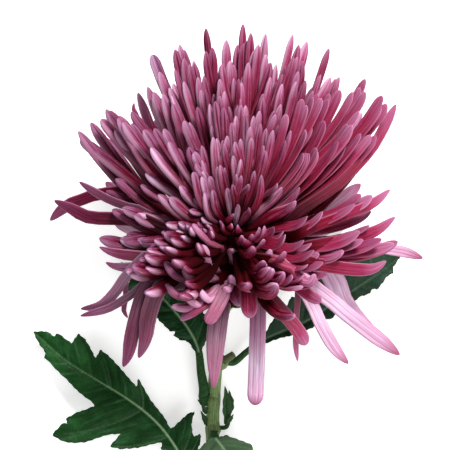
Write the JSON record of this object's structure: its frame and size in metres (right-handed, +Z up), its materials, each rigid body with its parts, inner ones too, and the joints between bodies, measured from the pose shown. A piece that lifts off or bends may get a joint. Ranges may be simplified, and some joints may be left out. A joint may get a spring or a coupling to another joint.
{
  "type": "disbud chrysanthemum",
  "caption": "Large incurved chrysanthemum bloom, cut with a short leafy stem and lying on its back on a surface.",
  "frame": {"origin": "centre of the part's outline on the surface that it lies on", "axes": "+Z up from the surface, +Y along the stem towards the bloom, +X to the right seen from above with the bloom away from the viewer"},
  "size_m": [0.1467, 0.2086, 0.0897],
  "materials": {
    "petal": "satin",
    "leaf": "satin",
    "stem": "satin"
  },
  "bodies": {
    "root": {"bloom": "petal", "involucre": "leaf", "stem": "stem", "leaf_large_left": "leaf", "leaf_back_left": "leaf", "leaf_right": "leaf", "leaf_front": "leaf", "side_shoot": "leaf"}
  },
  "joints": []
}
